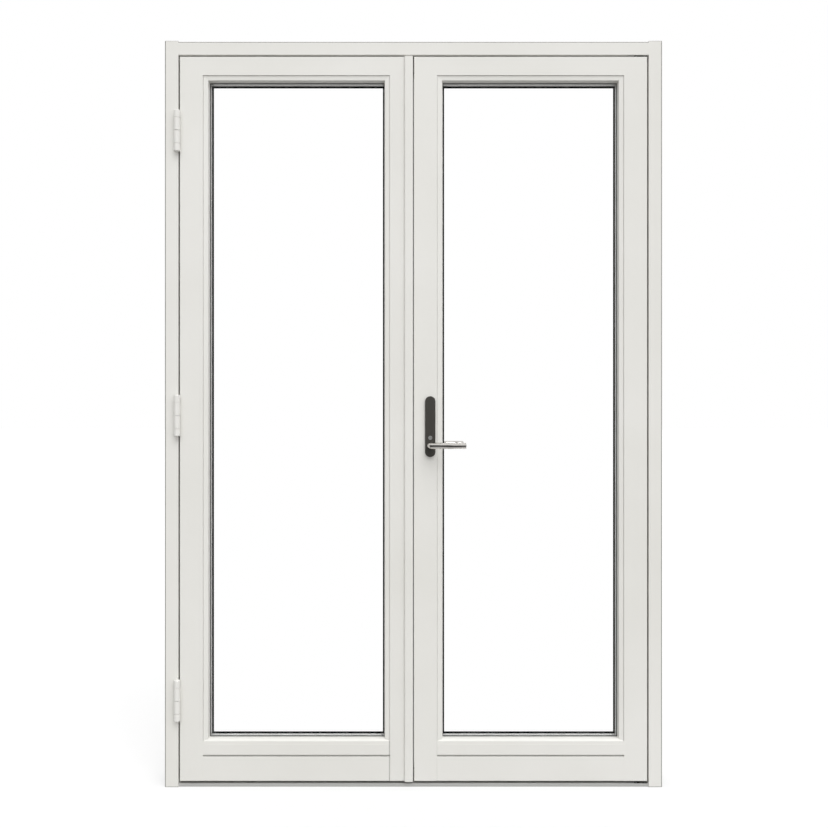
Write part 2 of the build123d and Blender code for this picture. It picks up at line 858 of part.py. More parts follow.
front_ring = bead_width + front_sight
spacer_ring = bead_width + spacer_sight
back_ring = bead_width + back_sight
glass_low = rebate_low + glass_clearance + sill_inset
for side, name in leaf_names.items():
    with BuildPart() as panes:
        pane(side, cavity_front)
        pane(side, pane_back)
    keep(panes, f"{name}_panes")
    with BuildPart() as spacer:
        glazing_ring(side, spacer_ring - spacer_width, spacer_ring, cavity_back, cavity)
    keep(spacer, f"{name}_spacer")
    with BuildPart() as gaskets:
        glazing_ring(side, front_ring - gasket_width, front_ring, pane_front, gasket_thickness)
        glazing_ring(side, back_ring - gasket_width, back_ring, lip_front, gasket_thickness)
    keep(gaskets, f"{name}_gaskets")
    with BuildPart() as glazing_blocks:
        for quarter in (rebate_inner + rebate_middle, rebate_middle + rebate_outer):
            block(
                around(side * quarter / 2, block_length),
                (pane_front, pane_back),
                (rebate_low, glass_low),
            )
    keep(glazing_blocks, f"{name}_glazing_blocks")

# Left leaf: cover strip and seal on the meeting edge, strike and flush bolts in it
with BuildPart() as cover_strip:
    block((-leaf_inner - strip_width, -leaf_inner), (-strip_depth, 0), (leaf_bottom, leaf_top))
    fillet(edges().filter_by(Axis.Z).group_by(Axis.Y)[0], radius=strip_round)
    fillet(edges().filter_by(Axis.X).group_by(Axis.Y)[0], radius=fine_arris)
keep(cover_strip, "cover_strip")

with BuildPart() as meeting_seal:
    root = left * (leaf_inner + seal_root)
    edge_seal = Plane((root, front + meeting_seal_depth, leaf_bottom), x_dir=(0, -1, 0), z_dir=(0, 0, 1))
    seal_strip(edge_seal, meeting_seal_reach, leaf_height)
keep(meeting_seal, "meeting_seal")

with BuildPart() as strike_plate:
    plate_span = (left * plate_face, left * (plate_face + strike_wall))
    block(plate_span, around(bolt_depth, faceplate_width), strike_span)
    fillet(edges().filter_by(Axis.X), radius=arris)
    block(
        (0, left * (plate_face + strike_wall)),
        around(bolt_depth, bolt_hole_width),
        around(handle_height, bolt_hole_height),
        Mode.SUBTRACT,
    )
keep(strike_plate, "strike_plate")

flush_bolts = {
    "top": (bolt_high_tip, -1, flush_high),
    "bottom": (bolt_low_tip, 1, flush_low),
}
slot_width = thumb_width + thumb_clearance * 2
thumb_rise = flush_rod_length - thumb_height / 2
with BuildPart() as flush_bolt_cases:
    for tip, inward, case_span in flush_bolts.values():
        block((left * plate_face, left * plate_rear), around(bolt_depth, faceplate_width), case_span)
        thumb = tip + inward * thumb_rise
        slot_end = thumb - inward * (bolt_throw + thumb_height / 2 + thumb_clearance)
        slot_start = thumb + inward * (thumb_height / 2 + thumb_clearance)
        block((0, left * plate_rear), around(bolt_depth, slot_width), (slot_end, slot_start), Mode.SUBTRACT)
keep(flush_bolt_cases, "flush_bolt_cases")

for place, (tip, inward, case_span) in flush_bolts.items():
    with BuildPart() as flush_bolt:
        rod_span = sorted((tip, tip + inward * flush_rod_length))
        upright(left * bolt_line, bolt_depth, bolt_radius, rod_span)
        rims = edges().filter_by(GeomType.CIRCLE).sort_by(Axis.Z, reverse=inward < 0)
        fillet(rims[0], radius=bolt_tip_round)
        block(
            (left * plate_face, left * bolt_line),
            around(bolt_depth, thumb_width),
            around(tip + inward * thumb_rise, thumb_height),
        )
    keep(flush_bolt, f"{place}_flush_bolt")

# Right leaf: lock case behind a long faceplate, with bolts that the handle drives
with BuildPart() as lock_case:
    block((case_front, case_back), around(bolt_depth, case_thickness), around(handle_height, case_height))
    fillet(edges().filter_by(Axis.Y), radius=arris)
    block(
        (0, plate_face + centre_bolt_length + centre_bolt_clearance),
        around(bolt_depth, bolt_hole_width),
        around(handle_height, bolt_hole_height),
        Mode.SUBTRACT,
    )
    with Locations(Plane((handle_line, front, handle_height), z_dir=(0, -1, 0))):
        Hole(case_follower)
keep(lock_case, "lock_case")

with BuildPart() as lock_faceplate:
    block((plate_face, plate_rear), around(bolt_depth, faceplate_width), right_edge_plate)
    block(
        (0, plate_rear),
        around(bolt_depth, bolt_hole_width),
        around(handle_height, bolt_hole_height),
        Mode.SUBTRACT,
    )
keep(lock_faceplate, "lock_faceplate")

shoot_bolts = {
    "top": ((handle_height + rod_part, bolt_high_tip), True),
    "bottom": ((bolt_low_tip, handle_height - rod_part), False),
}
for place, (rod_span, tip_up) in shoot_bolts.items():
    with BuildPart() as shoot_bolt:
        upright(right * bolt_line, bolt_depth, bolt_radius, rod_span)
        rims = edges().filter_by(GeomType.CIRCLE).sort_by(Axis.Z, reverse=tip_up)
        fillet(rims[0], radius=bolt_tip_round)
    keep(shoot_bolt, f"{place}_shoot_bolt")

with BuildPart() as centre_bolt:
    block(
        (plate_face, plate_face + centre_bolt_length),
        around(bolt_depth, centre_bolt_width),
        around(handle_height, centre_bolt_height),
    )
    fillet(faces().sort_by(Axis.X)[0].edges(), radius=fine_arris)
keep(centre_bolt, "centre_bolt")


# Handle: a long plate and a lever on each face, on one square spindle
def handle_plate(plane):
    with BuildSketch(plane) as section:
        SlotOverall(plate_length, plate_width, rotation=quarter_turn)
    extrude(section.sketch, amount=plate_depth)
    outward = Axis(plane.origin, plane.z_dir)
    chamfer(faces().sort_by(outward)[-1].edges(), length=plate_bevel)
    with Locations(plane.offset(plate_depth)):
        with Locations((0, handle_height - plate_centre)):
            Hole(lever_radius + neck_clearance)


def lever(face, outward):
    # A round bar that leaves the plate, bends and runs level along the leaf
    neck = face + outward * (plate_depth - neck_seat)
    axis = face + outward * lever_axis
    with BuildLine() as run:
        FilletPolyline(
            (handle_line, front + neck, handle_height),
            (handle_line, front + axis, handle_height),
            (handle_line + lever_length, front + axis, handle_height),
            radius=lever_bend,
        )
    with BuildSketch(Plane((handle_line, front + neck, handle_height), z_dir=(0, outward, 0))) as section:
        Circle(lever_radius)
    sweep(section.sketch, path=run.wires()[0])
    fillet(faces().sort_by(Axis.X)[-1].edges(), radius=lever_round)
    block(
        around(handle_line, spindle_side),
        (neck, neck + outward * spindle_seat),
        around(handle_height, spindle_side),
        Mode.SUBTRACT,
    )


leaf_face = Plane((handle_line, front, plate_centre), x_dir=(1, 0, 0), z_dir=(0, -1, 0))
leaf_rear = Plane((handle_line, front + leaf_depth, plate_centre), x_dir=(-1, 0, 0), z_dir=(0, 1, 0))
with BuildPart() as front_handle_plate:
    handle_plate(leaf_face)
keep(front_handle_plate, "front_handle_plate")

with BuildPart() as back_handle_plate:
    handle_plate(leaf_rear)
keep(back_handle_plate, "back_handle_plate")

with BuildPart() as front_lever:
    lever(0, -1)
keep(front_lever, "front_lever")

with BuildPart() as back_lever:
    lever(leaf_depth, 1)
keep(back_lever, "back_lever")

spindle_end = plate_depth - neck_seat + spindle_seat
with BuildPart() as handle_spindle:
    block(
        around(handle_line, spindle_side),
        (-spindle_end, leaf_depth + spindle_end),
        around(handle_height, spindle_side),
    )
keep(handle_spindle, "handle_spindle")
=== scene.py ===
import math
import bmesh
import bpy
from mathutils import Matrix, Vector


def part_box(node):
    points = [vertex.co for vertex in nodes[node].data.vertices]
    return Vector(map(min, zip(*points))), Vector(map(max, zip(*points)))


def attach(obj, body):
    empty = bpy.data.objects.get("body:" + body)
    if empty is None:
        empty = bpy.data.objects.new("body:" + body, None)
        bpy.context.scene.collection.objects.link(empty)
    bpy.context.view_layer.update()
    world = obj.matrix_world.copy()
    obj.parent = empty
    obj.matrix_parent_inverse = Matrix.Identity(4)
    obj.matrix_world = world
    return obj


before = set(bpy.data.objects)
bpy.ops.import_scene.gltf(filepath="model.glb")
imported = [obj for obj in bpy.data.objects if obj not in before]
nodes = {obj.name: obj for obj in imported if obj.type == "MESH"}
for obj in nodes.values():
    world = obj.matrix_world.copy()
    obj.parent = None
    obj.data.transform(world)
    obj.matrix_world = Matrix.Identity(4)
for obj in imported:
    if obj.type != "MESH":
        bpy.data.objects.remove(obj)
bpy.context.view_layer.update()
scene = bpy.context.scene
mm = 0.001
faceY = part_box("left_hinge_stile")[0].y  # the leaves' front face
print("frame loaded with", len(nodes), "nodes")


# Colours and nodes

def hexColour(code):
    # The usual screen colour curve, undone
    channels = [int(code[i:i + 2], 16) / 255 for i in (1, 3, 5)]
    return (*[c / 12.92 if c <= 0.04045 else ((c + 0.055) / 1.055) ** 2.4 for c in channels], 1.0)


def addNode(tree, kind, settings=None, links=None):
    # settings: properties by name, sockets by name or index, a ramp's stops as (place, colour);
    # links: socket -> (node, output). A colour Mix has its colours on 6 and 7 and its result on 2.
    node = tree.nodes.new(kind)
    for key, value in (settings or {}).items():
        if key == "stops":
            for stop, (place, code) in zip(node.color_ramp.elements, value):
                stop.position = place
                stop.color = hexColour(code)
        elif isinstance(key, str) and hasattr(node, key):
            setattr(node, key, value)
        else:
            node.inputs[key].default_value = value
    for key, (source, output) in (links or {}).items():
        tree.links.new(source.outputs[output], node.inputs[key])
    return node


def newMaterial(name):
    material = bpy.data.materials.new(name)
    material.use_nodes = True
    tree = material.node_tree
    tree.nodes.clear()
    return material, tree, addNode(tree, "ShaderNodeTexCoord")


def dress(material, *names):
    for name in names:
        slots = nodes[name].data.materials
        slots.clear()
        slots.append(material)


# Satin paint sprayed on planed pine: a soft sheen, a little orange peel,
# and the grain just telling through along the length of each piece.
# The frame's outer faces, tops and feet go in the wall, so they have only grey primer.
# Its band also reaches round the front arris and the jamb tops, a thin dark outline that is painted
# shade.
# The bottom rails' groove and the left rail's joint with the meeting stile get painted shade, a darker
# grey.
paint = {
    "level": 0, "upright": 2,  # the axis that the grain follows
    "tones": ((0.35, "#e4e3de"), (0.65, "#e9e8e4")), "drift": 420 * mm, "driftDetail": 3.0,
    # Grey primer on hidden faces; where it reaches round the front arris and the jamb tops it is
    # painted shade for a dark outline
    "primerAndEdgeShade": "#8c8b87", "primerShadeEdge": 2.9 * mm, "primerFoot": 1.6 * mm, "primerShadeTop": 0.8 * mm,
    # Painted shade: a darker grey for the bottom rails' groove and the left rail's joint
    "railPaintedShade": "#bbbab6", "jointWidth": 2.4 * mm,
    "grooveMiddle": 70.5 * mm, "grooveHalf": 1.52 * mm, "grooveFrom": 1.1 * mm,
    "peel": 5 * mm, "peelDetail": 2.0, "peelBump": 0.10, "peelDepth": 0.10 * mm,
    "grainAcross": 4 * mm, "grainAlong": 260 * mm, "grainDetail": 4.0, "grainRough": 0.6,
    "grainBump": 0.12, "grainDepth": 0.15 * mm,
    "roughLow": 0.36, "roughHigh": 0.48, "ior": 1.48,
}


def paintMaterial(name, along):
    material, tree, coords = newMaterial(name)
    scale = [1 / paint["grainAcross"]] * 3
    scale[along] = 1 / paint["grainAlong"]
    stretch = addNode(tree, "ShaderNodeMapping", {"Scale": scale}, {"Vector": (coords, "Object")})
    drift = addNode(tree, "ShaderNodeTexNoise",
                    {"Scale": 1 / paint["drift"], "Detail": paint["driftDetail"]},
                    {"Vector": (coords, "Object")})
    tone = addNode(tree, "ShaderNodeValToRGB", {"stops": paint["tones"]}, {"Fac": (drift, "Fac")})
    peel = addNode(tree, "ShaderNodeTexNoise",
                   {"Scale": 1 / paint["peel"], "Detail": paint["peelDetail"]},
                   {"Vector": (coords, "Object")})
    grain = addNode(tree, "ShaderNodeTexNoise",
                    {"Scale": 1.0, "Detail": paint["grainDetail"], "Roughness": paint["grainRough"]},
                    {"Vector": (stretch, "Vector")})
    rough = addNode(tree, "ShaderNodeMapRange",
                    {"To Min": paint["roughLow"], "To Max": paint["roughHigh"]},
                    {"Value": (grain, "Fac")})
    grainBump = addNode(tree, "ShaderNodeBump",
                        {"Strength": paint["grainBump"], "Distance": paint["grainDepth"]},
                        {"Height": (grain, "Fac")})
    peelBump = addNode(tree, "ShaderNodeBump",
                       {"Strength": paint["peelBump"], "Distance": paint["peelDepth"]},
                       {"Height": (peel, "Fac"), "Normal": (grainBump, "Normal")})

    # Primer on the outer face of an upright or level piece, at the feet and at the tops; where the band
    # takes in the front arris and the top edge it is painted shade, a thin dark outline
    split = addNode(tree, "ShaderNodeSeparateXYZ", None, {0: (coords, "Object")})
    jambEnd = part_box("right_jamb")[1]
    upright = along == paint["upright"]
    outward, limit = ("X", jambEnd.x) if upright else ("Z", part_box("head")[1].z)
    reach = addNode(tree, "ShaderNodeMath", {"operation": "ABSOLUTE"}, {0: (split, outward)})
    outside = addNode(tree, "ShaderNodeMath",
                      {"operation": "GREATER_THAN", 1: limit - paint["primerShadeEdge"]},
                      {0: (reach, "Value")})
    atFoot = addNode(tree, "ShaderNodeMath", {"operation": "LESS_THAN", 1: paint["primerFoot"]},
                     {0: (split, "Z")})
    atTop = addNode(tree, "ShaderNodeMath",
                    {"operation": "GREATER_THAN", 1: jambEnd.z - paint["primerShadeTop"]},
                    {0: (split, "Z")})
    ends = addNode(tree, "ShaderNodeMath", {"operation": "MAXIMUM"},
                   {0: (atFoot, "Value"), 1: (atTop, "Value")})
    primedOrEdgeShade = addNode(tree, "ShaderNodeMath", {"operation": "MAXIMUM"},
                     {0: (outside, "Value"), 1: (ends, "Value")})
    # Primer colour on the hidden faces, and painted shade as a thin dark outline along the front arris
    # and the jamb tops
    colour = addNode(tree, "ShaderNodeMix", {"data_type": "RGBA", 7: hexColour(paint["primerAndEdgeShade"])},
                     {0: (primedOrEdgeShade, "Value"), 6: (tone, "Color")})

    if not upright:
        # Painted shade: a darker grey in the groove behind the face, and along the left bottom rail's
        # inner end at its joint with the meeting stile
        low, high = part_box("left_bottom_rail")
        railHalf = (high.z - low.z) / 2
        inGroove = addNode(tree, "ShaderNodeMath",
                           {"operation": "COMPARE", 1: low.z + paint["grooveMiddle"],
                            2: paint["grooveHalf"]},
                           {0: (split, "Z")})
        sunk = addNode(tree, "ShaderNodeMath",
                       {"operation": "GREATER_THAN", 1: faceY + paint["grooveFrom"]},
                       {0: (split, "Y")})
        groove = addNode(tree, "ShaderNodeMath", {"operation": "MULTIPLY"},
                         {0: (inGroove, "Value"), 1: (sunk, "Value")})
        onRail = addNode(tree, "ShaderNodeMath",
                         {"operation": "COMPARE", 1: low.z + railHalf, 2: railHalf},
                         {0: (split, "Z")})
        atEnd = addNode(tree, "ShaderNodeMath",
                        {"operation": "COMPARE", 1: high.x, 2: paint["jointWidth"]},
                        {0: (split, "X")})
        joint = addNode(tree, "ShaderNodeMath", {"operation": "MULTIPLY"},
                        {0: (onRail, "Value"), 1: (atEnd, "Value")})
        railPaintedShade = addNode(tree, "ShaderNodeMath", {"operation": "MAXIMUM"},
                       {0: (groove, "Value"), 1: (joint, "Value")})
        colour = addNode(tree, "ShaderNodeMix", {"data_type": "RGBA", 7: hexColour(paint["railPaintedShade"])},
                         {0: (railPaintedShade, "Value"), 6: (colour, 2)})
    shader = addNode(tree, "ShaderNodeBsdfPrincipled", {"IOR": paint["ior"]},
                     {"Base Color": (colour, 2), "Roughness": (rough, "Result"),
                      "Normal": (peelBump, "Normal")})
    addNode(tree, "ShaderNodeOutputMaterial", None, {"Surface": (shader, "BSDF")})
    return material


paintUpright = paintMaterial("satin_paint_upright", paint["upright"])
paintLevel = paintMaterial("satin_paint_level", paint["level"])
for side in ("left", "right"):
    dress(paintUpright, *[f"{side}_{piece}" for piece in (
        "jamb", "hinge_stile", "meeting_stile", "side_beads")])
    dress(paintLevel, *[f"{side}_{piece}" for piece in (
        "top_rail", "bottom_rail", "top_bead", "bottom_bead")])
dress(paintUpright, "cover_strip", "side_stops")
dress(paintLevel, "head", "top_stop", "sill_base")

# Powder coat baked on steel: even white with a fine pebble and a slightly softer sheen
# than the timber
powder = {
    "colour": "#e8e7e3", "pebble": 1.6 * mm, "pebbleDetail": 1.0, "bump": 0.15, "depth": 0.06 * mm,
    "rough": 0.42, "ior": 1.5,
}
powderCoat, tree, coords = newMaterial("white_powder_coat")
pebble = addNode(tree, "ShaderNodeTexNoise",
                 {"Scale": 1 / powder["pebble"], "Detail": powder["pebbleDetail"]},
                 {"Vector": (coords, "Object")})
pebbleBump = addNode(tree, "ShaderNodeBump",
                     {"Strength": powder["bump"], "Distance": powder["depth"]},
                     {"Height": (pebble, "Fac")})
shader = addNode(tree, "ShaderNodeBsdfPrincipled",
                 {"Base Color": hexColour(powder["colour"]), "Roughness": powder["rough"],
                  "IOR": powder["ior"]},
                 {"Normal": (pebbleBump, "Normal")})
addNode(tree, "ShaderNodeOutputMaterial", None, {"Surface": (shader, "BSDF")})
dress(powderCoat, "hinge_base_caps", "hinge_sleeve_caps")
hingePlaces = ("lower", "middle", "upper")
for place in hingePlaces:
    dress(powderCoat, f"{place}_hinge_base", f"{place}_hinge_sleeve")

# Anodised aluminium, drawn along its length: a satin grey with fine streaks and scuffs from shoes
threshold = {
    "tones": ((0.3, "#c0c0bd"), (0.7, "#d2d2cf")),
    "streakAcross": 1.5 * mm, "streakAlong": 300 * mm, "streakDetail": 3.0,
    "bump": 0.15, "depth": 0.05 * mm, "metal": 0.5,
    "scuff": 60 * mm, "scuffDetail": 5.0, "scuffRough": 0.7, "roughLow": 0.38, "roughHigh": 0.58,
}
anodised, tree, coords = newMaterial("anodised_aluminium")
across = 1 / threshold["streakAcross"]
stretch = addNode(tree, "ShaderNodeMapping",
                  {"Scale": (1 / threshold["streakAlong"], across, across)},
                  {"Vector": (coords, "Object")})
streaks = addNode(tree, "ShaderNodeTexNoise",
                  {"Scale": 1.0, "Detail": threshold["streakDetail"]},
                  {"Vector": (stretch, "Vector")})
tone = addNode(tree, "ShaderNodeValToRGB", {"stops": threshold["tones"]}, {"Fac": (streaks, "Fac")})
scuffs = addNode(tree, "ShaderNodeTexNoise",
                 {"Scale": 1 / threshold["scuff"], "Detail": threshold["scuffDetail"],
                  "Roughness": threshold["scuffRough"]},
                 {"Vector": (coords, "Object")})
rough = addNode(tree, "ShaderNodeMapRange",
                {"To Min": threshold["roughLow"], "To Max": threshold["roughHigh"]},
                {"Value": (scuffs, "Fac")})
streakBump = addNode(tree, "ShaderNodeBump",
                     {"Strength": threshold["bump"], "Distance": threshold["depth"]},
                     {"Height": (streaks, "Fac")})
shader = addNode(tree, "ShaderNodeBsdfPrincipled", {"Metallic": threshold["metal"]},
                 {"Base Color": (tone, "Color"), "Roughness": (rough, "Result"),
                  "Normal": (streakBump, "Normal")})
addNode(tree, "ShaderNodeOutputMaterial", None, {"Surface": (shader, "BSDF")})
dress(anodised, "threshold_plate")

# Mill-finish spacer bar: dull aluminium with the drying agent's breather holes down its middle,
# drawn wider apart than the real 2 mm so that they show
spacer = {
    "colour": "#ececea", "hole": "#6e6e6c", "pitch": 8 * mm, "holeWidth": 1.6 * mm,
    "metal": 0.3, "rough": 0.5,
}
millSpacer, tree, coords = newMaterial("mill_aluminium_spacer")
split = addNode(tree, "ShaderNodeSeparateXYZ", None, {0: (coords, "Object")})
run = addNode(tree, "ShaderNodeMath", {"operation": "ADD"}, {0: (split, "X"), 1: (split, "Z")})
cell = addNode(tree, "ShaderNodeMath", {"operation": "PINGPONG", 1: spacer["pitch"] / 2},
               {0: (run, "Value")})
low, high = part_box("left_spacer")
middle = addNode(tree, "ShaderNodeMath", {"operation": "SUBTRACT", 1: (low.y + high.y) / 2},
                 {0: (split, "Y")})
cellSquare = addNode(tree, "ShaderNodeMath", {"operation": "POWER", 1: 2.0}, {0: (cell, "Value")})
middleSquare = addNode(tree, "ShaderNodeMath", {"operation": "POWER", 1: 2.0}, {0: (middle, "Value")})
distance = addNode(tree, "ShaderNodeMath", {"operation": "ADD"},
                   {0: (cellSquare, "Value"), 1: (middleSquare, "Value")})
inHole = addNode(tree, "ShaderNodeMath",
                 {"operation": "LESS_THAN", 1: (spacer["holeWidth"] / 2) ** 2},
                 {0: (distance, "Value")})
tone = addNode(tree, "ShaderNodeMix",
               {"data_type": "RGBA", 6: hexColour(spacer["colour"]), 7: hexColour(spacer["hole"])},
               {0: (inHole, "Value")})
shader = addNode(tree, "ShaderNodeBsdfPrincipled",
                 {"Metallic": spacer["metal"], "Roughness": spacer["rough"]}, {"Base Color": (tone, 2)})
addNode(tree, "ShaderNodeOutputMaterial", None, {"Surface": (shader, "BSDF")})
dress(millSpacer, "left_spacer", "right_spacer")

# Clear float glass with a reflection-cutting coat: no tint, a roller wave that only bends
# reflections a little, and a weak sharp reflection
glass = {
    "colour": "#ffffff", "ior": 1.15, "roller": 180 * mm, "rollerBend": 0.5,
    "band": 0.314,  # one band of the wave texture at scale 1, in metres
    "bump": 0.05, "depth": 0.05 * mm,
}
floatGlass, tree, coords = newMaterial("clear_float_glass")
roller = addNode(tree, "ShaderNodeTexWave",
                 {"wave_type": "BANDS", "bands_direction": "Z",
                  "Scale": glass["band"] / glass["roller"], "Distortion": glass["rollerBend"]},
                 {"Vector": (coords, "Object")})
rollerBump = addNode(tree, "ShaderNodeBump",
                     {"Strength": glass["bump"], "Distance": glass["depth"]},
                     {"Height": (roller, "Fac")})
shader = addNode(tree, "ShaderNodeBsdfPrincipled",
                 {"Base Color": hexColour(glass["colour"]), "Roughness": 0.0, "IOR": glass["ior"],
                  "Transmission Weight": 1.0},
                 {"Normal": (rollerBump, "Normal")})
addNode(tree, "ShaderNodeOutputMaterial", None, {"Surface": (shader, "BSDF")})
dress(floatGlass, "left_panes", "right_panes")

# Extruded rubber, black or pale grey: matt, with a dusty bloom in soft patches
rubber = {
    "black": ((0.4, "#161615"), (0.7, "#262624")), "grey": ((0.4, "#a9a9a5"), (0.7, "#b5b5b1")),
    "patch": 30 * mm, "patchDetail": 4.0, "rough": 0.7, "ior": 1.5,
}
for name, stops, pieces in (
    ("extruded_rubber", rubber["black"], ("frame_seals", "left_gaskets", "right_gaskets")),
    ("grey_extruded_rubber", rubber["grey"], ("meeting_seal",)),
):
    extrudedRubber, tree, coords = newMaterial(name)
    bloom = addNode(tree, "ShaderNodeTexNoise",
                    {"Scale": 1 / rubber["patch"], "Detail": rubber["patchDetail"]},
                    {"Vector": (coords, "Object")})
    tone = addNode(tree, "ShaderNodeValToRGB", {"stops": stops}, {"Fac": (bloom, "Fac")})
    shader = addNode(tree, "ShaderNodeBsdfPrincipled",
                     {"Roughness": rubber["rough"], "IOR": rubber["ior"]},
                     {"Base Color": (tone, "Color")})
    addNode(tree, "ShaderNodeOutputMaterial", None, {"Surface": (shader, "BSDF")})
    dress(extrudedRubber, *pieces)

# Moulded nylon packers: a plain grey with a faint mould bloom
nylon = {
    "light": "#5b5c5e", "dark": "#505153", "patch": 12 * mm, "patchDetail": 2.0,
    "rough": 0.55, "ior": 1.53,
}
mouldedNylon, tree, coords = newMaterial("moulded_nylon")
mottle = addNode(tree, "ShaderNodeTexNoise",
                 {"Scale": 1 / nylon["patch"], "Detail": nylon["patchDetail"]},
                 {"Vector": (coords, "Object")})
tone = addNode(tree, "ShaderNodeMix",
               {"data_type": "RGBA", 6: hexColour(nylon["dark"]), 7: hexColour(nylon["light"])},
               {0: (mottle, "Fac")})
shader = addNode(tree, "ShaderNodeBsdfPrincipled",
                 {"Roughness": nylon["rough"], "IOR": nylon["ior"]}, {"Base Color": (tone, 2)})
addNode(tree, "ShaderNodeOutputMaterial", None, {"Surface": (shader, "BSDF")})
dress(mouldedNylon, "left_glazing_blocks", "right_glazing_blocks")

# Textured dark lacquer on the handle plates and the pivots: charcoal with a warm cast,
# fine grit and a low sheen
lacquer = {
    "light": "#45433f", "dark": "#3e3c38", "grit": 0.9 * mm, "gritDetail": 2.0,
    "bump": 0.2, "depth": 0.05 * mm, "rough": 0.5, "ior": 1.5,
}
darkLacquer, tree, coords = newMaterial("dark_lacquer")
grit = addNode(tree, "ShaderNodeTexNoise",
               {"Scale": 1 / lacquer["grit"], "Detail": lacquer["gritDetail"]},
               {"Vector": (coords, "Object")})
tone = addNode(tree, "ShaderNodeMix",
               {"data_type": "RGBA", 6: hexColour(lacquer["dark"]), 7: hexColour(lacquer["light"])},
               {0: (grit, "Fac")})
gritBump = addNode(tree, "ShaderNodeBump",
                   {"Strength": lacquer["bump"], "Distance": lacquer["depth"]},
                   {"Height": (grit, "Fac")})
shader = addNode(tree, "ShaderNodeBsdfPrincipled",
                 {"Roughness": lacquer["rough"], "IOR": lacquer["ior"]},
                 {"Base Color": (tone, 2), "Normal": (gritBump, "Normal")})
addNode(tree, "ShaderNodeOutputMaterial", None, {"Surface": (shader, "BSDF")})
dress(darkLacquer, "front_handle_plate", "back_handle_plate", "leaf_pivots")

# Polished nickel plate over zinc: a bright mirror whose hand-buffed surface waves a little
nickel = {
    "colour": "#cfccc8", "wave": 30 * mm, "waveBump": 0.8, "waveDepth": 9.0 * mm,
    "haze": 9 * mm, "hazeDetail": 4.0, "roughLow": 0.07, "roughHigh": 0.15,
}
polishedNickel, tree, coords = newMaterial("polished_nickel")
wave = addNode(tree, "ShaderNodeTexNoise", {"Scale": 1 / nickel["wave"], "Detail": 0.0},
               {"Vector": (coords, "Object")})
haze = addNode(tree, "ShaderNodeTexNoise",
               {"Scale": 1 / nickel["haze"], "Detail": nickel["hazeDetail"]},
               {"Vector": (coords, "Object")})
rough = addNode(tree, "ShaderNodeMapRange",
                {"To Min": nickel["roughLow"], "To Max": nickel["roughHigh"]},
                {"Value": (haze, "Fac")})
waveBump = addNode(tree, "ShaderNodeBump",
                   {"Strength": nickel["waveBump"], "Distance": nickel["waveDepth"]},
                   {"Height": (wave, "Fac")})
shader = addNode(tree, "ShaderNodeBsdfPrincipled",
                 {"Base Color": hexColour(nickel["colour"]), "Metallic": 1.0},
                 {"Roughness": (rough, "Result"), "Normal": (waveBump, "Normal")})
addNode(tree, "ShaderNodeOutputMaterial", None, {"Surface": (shader, "BSDF")})
dress(polishedNickel, "front_lever", "back_lever")

# Zinc-plated steel: a cool grey, patchy from the passivating bath, with a dull shine
# that the chalky film softens
zinc = {
    "light": "#c3c4c3", "dark": "#a6a8a8", "patch": 14 * mm, "patchDetail": 5.0, "patchRough": 0.6,
    "metal": 0.6, "roughLow": 0.28, "roughHigh": 0.45,
}
zincSteel, tree, coords = newMaterial("zinc_plated_steel")
patches = addNode(tree, "ShaderNodeTexNoise",
                  {"Scale": 1 / zinc["patch"], "Detail": zinc["patchDetail"],
                   "Roughness": zinc["patchRough"]},
                  {"Vector": (coords, "Object")})
tone = addNode(tree, "ShaderNodeMix",
               {"data_type": "RGBA", 6: hexColour(zinc["dark"]), 7: hexColour(zinc["light"])},
               {0: (patches, "Fac")})
rough = addNode(tree, "ShaderNodeMapRange",
                {"To Min": zinc["roughLow"], "To Max": zinc["roughHigh"]},
                {"Value": (patches, "Fac")})
shader = addNode(tree, "ShaderNodeBsdfPrincipled", {"Metallic": zinc["metal"]},
                 {"Base Color": (tone, 2), "Roughness": (rough, "Result")})
addNode(tree, "ShaderNodeOutputMaterial", None, {"Surface": (shader, "BSDF")})
dress(zincSteel, "fixing_sleeves", "head_keep", "threshold_keep", "hinge_pins", "strike_plate",
      "flush_bolt_cases", "lock_case", "lock_faceplate", "pivot_straps", "handle_spindle",
      "top_shoot_bolt", "bottom_shoot_bolt", "centre_bolt", "top_flush_bolt", "bottom_flush_bolt")
print("finishes on every node")


# Small steel pieces added to the plates

def ringMesh(name, rings):
    # Rings with the same number of points, joined side by side and closed at both ends
    build = bmesh.new()
    loops = [[build.verts.new(point) for point in ring] for ring in rings]
    for low, high in zip(loops, loops[1:]):
        for k in range(len(low)):
            after = (k + 1) % len(low)
            build.faces.new((low[k], low[after], high[after], high[k]))
    build.faces.new(loops[-1])
    build.faces.new(reversed(loops[0]))
    bmesh.ops.recalc_face_normals(build, faces=build.faces)
    mesh = bpy.data.meshes.new(name)
    build.to_mesh(mesh)
    build.free()
    return mesh


# Countersunk screws in the plates, one Geometry Nodes tree for all of them
screw = {
    "radius": 3.4 * mm, "seed": 4,
    # The head, in shares of its radius: a bevelled disc with a cross recess of four arms
    "points": 16, "rim": 1.0, "rimSink": 0.05, "crown": 0.9, "proud": 0.12,
    "cross": (0.46, 0.26, 0.16, 0.26), "recess": 0.34, "taper": 0.75,
    # How far the screws are from the ends of the plates
    "lockEnd": 33 * mm, "lockCount": 10, "strapNear": 7 * mm, "strapFar": 25 * mm,
    "rearEnd": 12 * mm, "strikeEnd": 8 * mm, "caseNear": 13 * mm, "caseFar": 179 * mm,
    "keepEnd": 6 * mm, "pivotEnd": 6 * mm, "pivotPlate": 3 * mm,  # the last is a plate's thickness
    # The faces of the hinge plates in the side gap; depth behind the front and share of the height
    "leafPlate": -659.0 * mm, "jambPlate": -660.5 * mm,
    "hingeSpots": ((12 * mm, 0.22), (12 * mm, 0.78), (34 * mm, 0.5)),
    # The threshold's row, on its slope
    "rowStart": -600 * mm, "rowStep": 200 * mm, "rowCount": 7, "rowEdge": 10 * mm,
    "rowDrop": 0.43 * mm, "rowSlope": -0.043,
}


